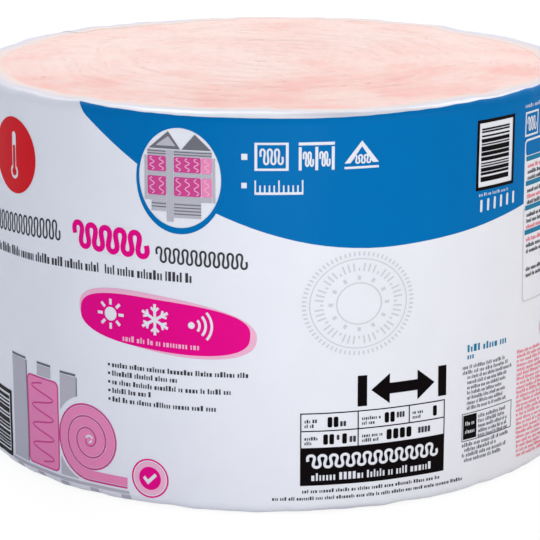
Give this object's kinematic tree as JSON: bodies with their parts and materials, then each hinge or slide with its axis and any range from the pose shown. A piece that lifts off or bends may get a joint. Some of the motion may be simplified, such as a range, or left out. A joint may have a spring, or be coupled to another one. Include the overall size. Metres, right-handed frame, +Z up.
{
  "type": "insulation roll",
  "caption": "Squeezed roll of pink glass-wool insulation that stands on its end, in a printed white film wrap that curls over both shoulders and leaves the wool ends bare.",
  "frame": {"origin": "middle of the end that the roll stands on", "axes": "+Z up along the roll's axis; the printed front of the wrap faces -Y"},
  "size_m": [0.6, 0.6, 0.381],
  "materials": {
    "glass_wool": "soft matte glass fibre, pale pink",
    "wrap_film": "white film with printed colour, soft sheen"
  },
  "bodies": {
    "root": {"glass_wool_roll": "glass_wool", "printed_wrap": "wrap_film"}
  },
  "joints": []
}
